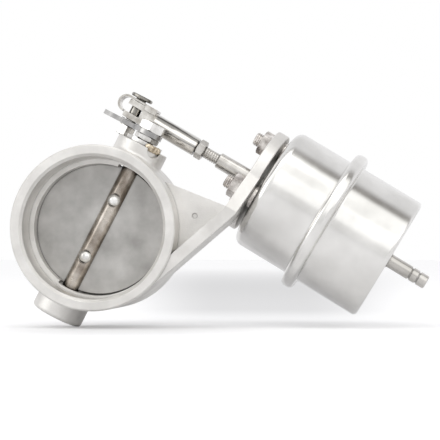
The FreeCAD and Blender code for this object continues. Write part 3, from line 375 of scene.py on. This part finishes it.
# %% Clouds: slow changes of tone over a surface
CLOUD_RANGE = (0.3, 0.7)
clouds, nodes, links, given, made = new_group("clouds", [
    ("Dark", "Color", (0.4, 0.4, 0.4, 1)), ("Light", "Color", (0.8, 0.8, 0.8, 1)),
    ("Scale", "Float", 60.0), ("Smooth", "Float", 0.3), ("Rough", "Float", 0.5)],
    [("Color", "Color"), ("Roughness", "Float")])
noise = fine_noise(nodes, links, object_place(nodes), given["Scale"], 5.0)
tone = spread(nodes, links, noise, *CLOUD_RANGE)
links.new(mix(nodes, links, "RGBA", tone, given["Dark"], given["Light"]), made["Color"])
roughness = spread(nodes, links, noise, 0.0, 1.0, given["Smooth"], given["Rough"])
links.new(roughness, made["Roughness"])
print("group", clouds.name)

# %% Grain: the small bumps that blasting leaves
grain, nodes, links, given, made = new_group("grain", [
    ("Scale", "Float", 1500.0), ("Height", "Float", 0.02 * MM), ("Edge", "Float", 0.3 * MM)],
    [("Normal", "Vector")])
noise = fine_noise(nodes, links, object_place(nodes), given["Scale"], 3.0)
links.new(bumps_and_round_edges(nodes, links, noise, given["Height"], given["Edge"]), made["Normal"])
print("group", grain.name)

# %% Turning: fine rings round an axis, from the lathe
turning, nodes, links, given, made = new_group("turning", [
    ("Middle", "Vector", None), ("Axis", "Vector", None), ("Rings", "Float", 2200.0),
    ("Height", "Float", 0.008 * MM), ("Edge", "Float", 0.3 * MM)],
    [("Normal", "Vector")])
shift = vector_work(nodes, links, "SUBTRACT", object_place(nodes), given["Middle"])["Vector"]
along = vector_work(nodes, links, "DOT_PRODUCT", shift, given["Axis"])["Value"]
across = vector_work(nodes, links, "CROSS_PRODUCT", shift, given["Axis"])["Vector"]
radius = vector_work(nodes, links, "LENGTH", across)["Value"]
pair = nodes.new("ShaderNodeCombineXYZ")
links.new(along, pair.inputs["X"])
links.new(radius, pair.inputs["Y"])
rings = fine_noise(nodes, links, pair.outputs["Vector"], given["Rings"], 4.0)
links.new(bumps_and_round_edges(nodes, links, rings, given["Height"], given["Edge"]), made["Normal"])
print("group", turning.name)

# %% Crevices: painted shade in the lines where two pieces meet, darker where they close in
OPEN_ENOUGH = 0.85
CLOSED_ENOUGH = 0.25
PAINTED_SHADE_COLOUR = (0.02, 0.018, 0.015, 1)
crevices, nodes, links, given, made = new_group("crevices", [
    ("Unshaded", "Color", (0.8, 0.8, 0.8, 1)), ("Reach", "Float", 1.5 * MM), ("Grime", "Float", 0.8)],
    [("Color", "Color")])
openness = nodes.new("ShaderNodeAmbientOcclusion")
openness.samples = 8
links.new(given["Reach"], openness.inputs["Distance"])
# Painted shade: the colour turns towards near black where other surfaces are close.
closed = smooth(nodes, links, openness.outputs["AO"], OPEN_ENOUGH, CLOSED_ENOUGH)
painted_shade = work(nodes, links, "MULTIPLY", closed, given["Grime"])
links.new(mix(nodes, links, "RGBA", painted_shade, given["Unshaded"], PAINTED_SHADE_COLOUR), made["Color"])
print("group", crevices.name)


# %% [markdown]
# Two kinds of steel cover almost everything. Blasted steel is the casting: a bright grey
# that spreads its reflections wide. Turned steel is the rest: the same metal with rings
# round its own axis. Both take their tone from the clouds and painted shade from the crevices.

# %% Blasted and turned steel
def toned_steel(name, dark, light, smoothest, roughest, cloud_scale, crease_shade, reach):
    """Steel whose tone and roughness drift in clouds, with painted shade in its crevices."""
    material, nodes, links, shader = new_material(name, light, roughest)
    tone = place_group(nodes, clouds, Dark=(*dark, 1), Light=(*light, 1), Scale=cloud_scale,
                       Smooth=smoothest, Rough=roughest)
    # Painted shade darkens the colour in the crevices.
    crease_shading = place_group(nodes, crevices, Grime=crease_shade, Reach=reach)
    links.new(tone.outputs["Color"], crease_shading.inputs["Unshaded"])
    links.new(crease_shading.outputs["Color"], shader.inputs["Base Color"])
    links.new(tone.outputs["Roughness"], shader.inputs["Roughness"])
    return material, nodes, links, shader


def blasted_steel(name, dark, light, smoothest, roughest, grain_height=0.02 * MM, cloud_scale=60.0,
                  crease_shade=0.5):
    """Toned steel with the grains of blasting."""
    material, nodes, links, shader = toned_steel(name, dark, light, smoothest, roughest, cloud_scale,
                                                 crease_shade, 1.5 * MM)
    bumps = place_group(nodes, grain, Height=grain_height)
    links.new(bumps.outputs["Normal"], shader.inputs["Normal"])
    return material


def turned_steel(name, dark, light, smoothest, roughest, middle, axis, ring_height=0.008 * MM,
                 cloud_scale=60.0, crease_shade=0.8, reach=1.5 * MM):
    """Toned steel with the lathe's rings round an axis."""
    material, nodes, links, shader = toned_steel(name, dark, light, smoothest, roughest, cloud_scale,
                                                 crease_shade, reach)
    marks = place_group(nodes, turning, Middle=middle, Axis=axis, Height=ring_height)
    links.new(marks.outputs["Normal"], shader.inputs["Normal"])
    return material


def finish(material, *names):
    """Give pieces of the frame one finish all over."""
    for name in names:
        mesh = frame["nodes"][name].data
        mesh.materials.clear()
        mesh.materials.append(material)


# %% [markdown]
# The casting is taken as blasted all over, with its front lip faced on a lathe afterwards. So
# one mask, the depth along the bore, chooses between the grains and the rings.

# %% The cast collar and its plate
LIP_LEVEL = -7.9 * MM
LIP_RING_HEIGHT = 0.03 * MM
LIP_RINGS = 1400.0
casting = blasted_steel("blasted_casting", (0.68, 0.665, 0.64), (0.84, 0.825, 0.80), 0.40, 0.55,
                        grain_height=0.09 * MM, cloud_scale=90.0)
nodes, links = casting.node_tree.nodes, casting.node_tree.links
normal = nodes["Principled BSDF"].inputs["Normal"]
split = nodes.new("ShaderNodeSeparateXYZ")
links.new(object_place(nodes), split.inputs[0])
faced = work(nodes, links, "LESS_THAN", split.outputs["Y"], LIP_LEVEL)
lathe = place_group(nodes, turning, Middle=(0, 0, 0), Axis=bore_axis, Height=LIP_RING_HEIGHT,
                    Rings=LIP_RINGS)
links.new(mix(nodes, links, "VECTOR", faced, normal.links[0].from_socket, lathe.outputs["Normal"]),
          normal)
finish(casting, "valve_body")
plate_skin = blasted_steel("rolled_plate", (0.36, 0.35, 0.335), (0.60, 0.59, 0.57), 0.40, 0.60,
                           grain_height=0.03 * MM, cloud_scale=75.0, crease_shade=0.9)
finish(plate_skin, "valve_plate")
print("collar and plate finished")

# %% The shaft, its lever and their small parts
shaft_skin = turned_steel("tinted_shaft", (0.24, 0.20, 0.165), (0.66, 0.61, 0.55), 0.14, 0.35,
                          shaft_middle, shaft_up, cloud_scale=130.0, crease_shade=1.0, reach=4.0 * MM)
finish(shaft_skin, "valve_shaft")
small_steel = turned_steel("turned_small_parts", (0.55, 0.53, 0.50), (0.95, 0.94, 0.92), 0.12, 0.35,
                           shaft_middle, shaft_up, cloud_scale=260.0)
finish(small_steel, "plate_screws", "gland_washer", "lever_nut", "top_nut", "pin_nut", "pin_spacer",
       "upper_bush", "lower_bush", "shaft_seal")
lever_skin = turned_steel("pressed_lever", (0.34, 0.335, 0.33), (0.74, 0.73, 0.71), 0.2, 0.45,
                          shaft_middle, shaft_up, cloud_scale=110.0)
finish(lever_skin, "lever")
weld_skin = blasted_steel("tinted_weld", (0.16, 0.10, 0.05), (0.86, 0.76, 0.60), 0.10, 0.30,
                          cloud_scale=550.0)
finish(weld_skin, "gland_weld")
print("shaft and lever finished")

# %% The clip, the pin and the rod
clip_skin = turned_steel("bright_clevis", (0.38, 0.35, 0.31), (0.92, 0.90, 0.86), 0.06, 0.22,
                         pin_middle, rod_axis, cloud_scale=240.0)
finish(clip_skin, "spring_clip")
pin_skin = turned_steel("oiled_pin", (0.10, 0.095, 0.085), (0.50, 0.48, 0.44), 0.10, 0.30,
                        pin_middle, rod_axis, cloud_scale=260.0)
finish(pin_skin, "clevis_pin")
rod_skin = turned_steel("turned_rod", (0.46, 0.44, 0.41), (0.76, 0.74, 0.71), 0.2, 0.4,
                        pin_middle, rod_axis, cloud_scale=180.0)
finish(rod_skin, "lock_nut", "actuator_rod")
print("clip, pin and rod finished")

# %% The canister and what it holds
can_skin = turned_steel("brushed_can", (0.70, 0.69, 0.67), (0.86, 0.85, 0.83), 0.14, 0.24,
                        can_middle, can_axis, ring_height=0.006 * MM, crease_shade=0.6)
finish(can_skin, "front_can", "rear_can")
fitting_skin = turned_steel("turned_fittings", (0.50, 0.48, 0.45), (0.76, 0.74, 0.71), 0.15, 0.35,
                            can_middle, can_axis)
finish(fitting_skin, "vacuum_nipple", "stud_ring", "piston_cup", "rod_socket", "spring_plate",
       "spring_seat", "return_spring")
stud_skin = turned_steel("plated_studs", (0.22, 0.19, 0.17), (0.92, 0.88, 0.84), 0.10, 0.30,
                         can_middle, can_axis, cloud_scale=230.0)
finish(stud_skin, "actuator_studs", "stud_nuts")
rubber = blasted_steel("moulded_rubber", (0.02, 0.02, 0.02), (0.045, 0.045, 0.042), 0.55, 0.8,
                       grain_height=0.04 * MM)
rubber.node_tree.nodes["Principled BSDF"].inputs["Metallic"].default_value = 0.0
finish(rubber, "diaphragm")
print("canister finished")

# %% [markdown]
# The dark bands along the neck of the clevis are painted reflections, laid into its colour
# as streaks. They may be reflections or oil, and here they are painted as streaks. They run
# straight along the neck, so their tone depends only on the height across it, and a noise
# that is long along the neck and short across it makes them waver.

# %% The painted reflection's tones, from the neck's underside to its top
REFLECTION_BANDS = [(0.0, 0.50), (0.22, 0.72), (0.36, 0.60), (0.43, 0.22), (0.50, 0.55), (0.58, 0.92),
           (0.68, 0.95), (0.74, 0.16), (0.86, 0.12), (0.91, 0.60), (1.0, 0.90)]
REFLECTION_TINT = (1.0, 0.97, 0.92)
UNDERSIDE_TINT = (1.0, 0.96, 0.90)
TOP_TINT = (1.0, 1.0, 0.98)
tints = [UNDERSIDE_TINT] + [REFLECTION_TINT] * (len(REFLECTION_BANDS) - 2) + [TOP_TINT]
reflection_stops = [(height, [tone * part for part in tint]) for (height, tone), tint in zip(REFLECTION_BANDS, tints)]
print("streaks:", len(reflection_stops))

# %% The clevis
NECK_RADIUS = 4.35 * MM
NECK_START = 10.0 * MM
NECK_BLEND = 1.0 * MM
WAVER_ALONG = 60.0
WAVER_ACROSS = 500.0
WAVER_DEPTH = 0.24
clevis_skin = turned_steel("drawn_clevis", (0.38, 0.35, 0.31), (0.92, 0.90, 0.86), 0.06, 0.22,
                           pin_middle, rod_axis, cloud_scale=240.0)
nodes, links = clevis_skin.node_tree.nodes, clevis_skin.node_tree.links
unshaded_colour = nodes["Principled BSDF"].inputs["Base Color"].links[0].from_node.inputs["Unshaded"]
from_pin = vector_work(nodes, links, "SUBTRACT", object_place(nodes), pin_middle)["Vector"]
neck_up = Vector((-rod_axis.z, 0, rod_axis.x))
along_neck = vector_work(nodes, links, "DOT_PRODUCT", from_pin, rod_axis)["Value"]
across_neck = vector_work(nodes, links, "DOT_PRODUCT", from_pin, neck_up)["Value"]
stretched = nodes.new("ShaderNodeCombineXYZ")
links.new(work(nodes, links, "MULTIPLY", along_neck, WAVER_ALONG), stretched.inputs["X"])
links.new(work(nodes, links, "MULTIPLY", across_neck, WAVER_ACROSS), stretched.inputs["Y"])
waver = fine_noise(nodes, links, stretched.outputs["Vector"], 1.0, 4.0)
height = work(nodes, links, "MULTIPLY_ADD", across_neck, 0.5 / NECK_RADIUS, 0.5)
wavering = work(nodes, links, "MULTIPLY_ADD", waver, WAVER_DEPTH, WAVER_DEPTH / -2)
# Painted reflection: dark and light bands laid into the neck's colour.
painted_reflection = ramp(nodes, links, work(nodes, links, "ADD", height, wavering), reflection_stops)
on_neck = smooth(nodes, links, along_neck, NECK_START, NECK_START + NECK_BLEND)
links.new(mix(nodes, links, "RGBA", on_neck, unshaded_colour.links[0].from_socket, painted_reflection), unshaded_colour)
finish(clevis_skin, "clevis")
print("clevis finished")

# %% [markdown]
# The solids carry plain cylinders where the real parts have screw threads. A thread is one
# ridge that climbs round a cylinder, so each is laid here as a surface along a helix.

# %% Screw threads
STEPS_PER_TURN = 20
RIDGE_HALF = 0.45
RIDGE_FOOT = 0.94
RIDGE_CREST = 1.10


def screw_thread(name, foot, axis, radius, length, pitch, body, material):
    """One ridge along the helix p(t) = foot + axis * pitch * t + r * (cos(2 pi t) u + sin(2 pi t) v).

    Its section is a triangle: two corners just inside the cylinder and one crest outside it.
    """
    side = axis.orthogonal().normalized()
    lift = axis.cross(side)
    steps = int(round(length / pitch * STEPS_PER_TURN))
    turn = np.linspace(0, length / pitch, steps + 1)[:, None, None]
    aside = np.array([-RIDGE_HALF, 0.0, RIDGE_HALF])[None, :, None]
    reach = np.array([RIDGE_FOOT, RIDGE_CREST, RIDGE_FOOT])[None, :, None]
    outwards = np.cos(2 * np.pi * turn) * np.array(side) + np.sin(2 * np.pi * turn) * np.array(lift)
    points = np.array(foot) + np.array(axis) * pitch * (turn + aside) + radius * reach * outwards
    corner = np.arange(3)[None, :]
    here = 3 * np.arange(steps)[:, None] + corner
    beside = here - corner + (corner + 1) % 3
    sides = np.stack((here, here + 3, beside + 3, beside), axis=-1).reshape(-1, 4)
    last = 3 * steps
    ends = [(0, 1, 2), (last + 2, last + 1, last)]
    mesh = bpy.data.meshes.new(name)
    mesh.from_pydata(points.reshape(-1, 3).tolist(), [], ends + sides.tolist())
    mesh.materials.append(material)
    piece = bpy.data.objects.new(name, mesh)
    bpy.context.scene.collection.objects.link(piece)
    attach(piece, body)
    print(name, "has", steps, "steps in", round(length / pitch, 1), "turns")


# %% The rod's thread, between lock nut and thick rod
NUT_END = 37.5 * MM
THICK_ROD = 44.6 * MM
ROD_THREAD_RADIUS = 2.5 * MM
ROD_PITCH = 1.1 * MM
screw_thread("rod_thread", pin_middle + rod_axis * NUT_END, rod_axis, ROD_THREAD_RADIUS,
             THICK_ROD - NUT_END, ROD_PITCH, "link_group", rod_skin)


# %% [markdown]
# The three studs stand evenly round the canister's axis, and the frame has them as one
# piece. Their corners fall into three heaps by their angle round that axis. Seen along it,
# the middle of each heap is where a stud stands.

# %% Where the studs stand
STUDS = 3


def corners_of(name):
    """All corners of a piece of the frame, as one array."""
    vertices = frame["nodes"][name].data.vertices
    flat = np.empty(len(vertices) * 3, dtype=np.float32)
    vertices.foreach_get("co", flat)
    return flat.reshape(-1, 3).astype(float)


stud_corners = corners_of("actuator_studs")
near_side = -bore_axis
below = can_axis.cross(near_side)
seen_along = (stud_corners - np.array(can_middle)) @ np.array((near_side, below)).T
angles = np.arctan2(seen_along[:, 1], seen_along[:, 0])
first_angle = np.angle(np.exp(1j * STUDS * angles).sum()) / STUDS
heap = np.round((angles - first_angle) * STUDS / (2 * np.pi)).astype(int) % STUDS
heaps = [seen_along[heap == number] for number in range(STUDS)]
stud_middles = [(corners.min(axis=0) + corners.max(axis=0)) / 2 for corners in heaps]
print("studs", [round(float(np.hypot(*middle)) / MM, 2) for middle in stud_middles], "mm off the axis")

# %% The threads on the stud tips
STUD_RADIUS = 3.0 * MM
STUD_PITCH = 1.0 * MM
TIP_CHAMFER = 0.6 * MM
tip = (stud_corners @ np.array(can_axis)).min()
nut_face = (corners_of("stud_nuts") @ np.array(can_axis)).min()
thread_start = can_middle + can_axis * (tip + TIP_CHAMFER - can_middle.dot(can_axis))
for number, (nearer, lower) in enumerate(stud_middles):
    foot = thread_start + near_side * nearer + below * lower
    screw_thread("stud_thread_%d" % number, foot, can_axis, STUD_RADIUS,
                 nut_face - tip - TIP_CHAMFER, STUD_PITCH, "housing", stud_skin)
